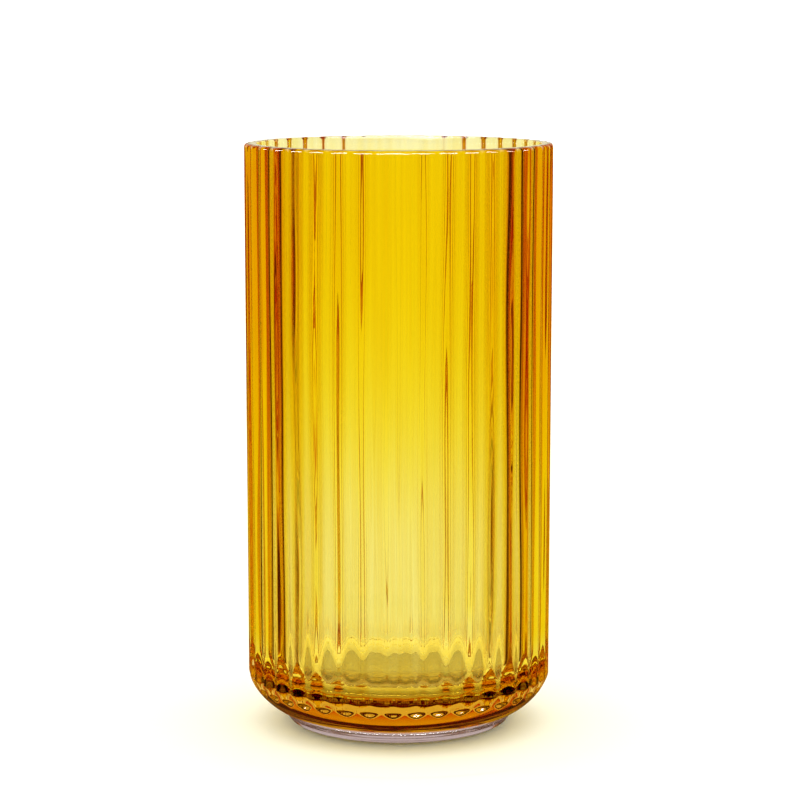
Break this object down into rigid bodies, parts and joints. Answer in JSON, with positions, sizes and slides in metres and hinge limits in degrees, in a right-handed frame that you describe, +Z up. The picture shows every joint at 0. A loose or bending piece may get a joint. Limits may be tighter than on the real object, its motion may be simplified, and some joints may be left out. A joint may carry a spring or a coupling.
{
  "type": "vase",
  "caption": "Straight-sided blown glass vase with upright concave flutes, a thick rounded base and a low clear foot, for holding cut flowers.",
  "frame": {"origin": "centre of the circle that the foot stands on, at table height", "axes": "+Z up along the vase's axis; -Y is the side the picture looks at"},
  "size_m": [0.1046, 0.1046, 0.2],
  "materials": {
    "amber_glass": "transparent amber glass, fire polished",
    "casing_glass": "pale amber cased glass, mould blown with flutes, rim polished",
    "foot_glass": "colourless glass, fire polished"
  },
  "bodies": {
    "root": {"amber_inner_layer": "amber_glass", "fluted_casing": "casing_glass", "clear_foot": "foot_glass"}
  },
  "joints": []
}
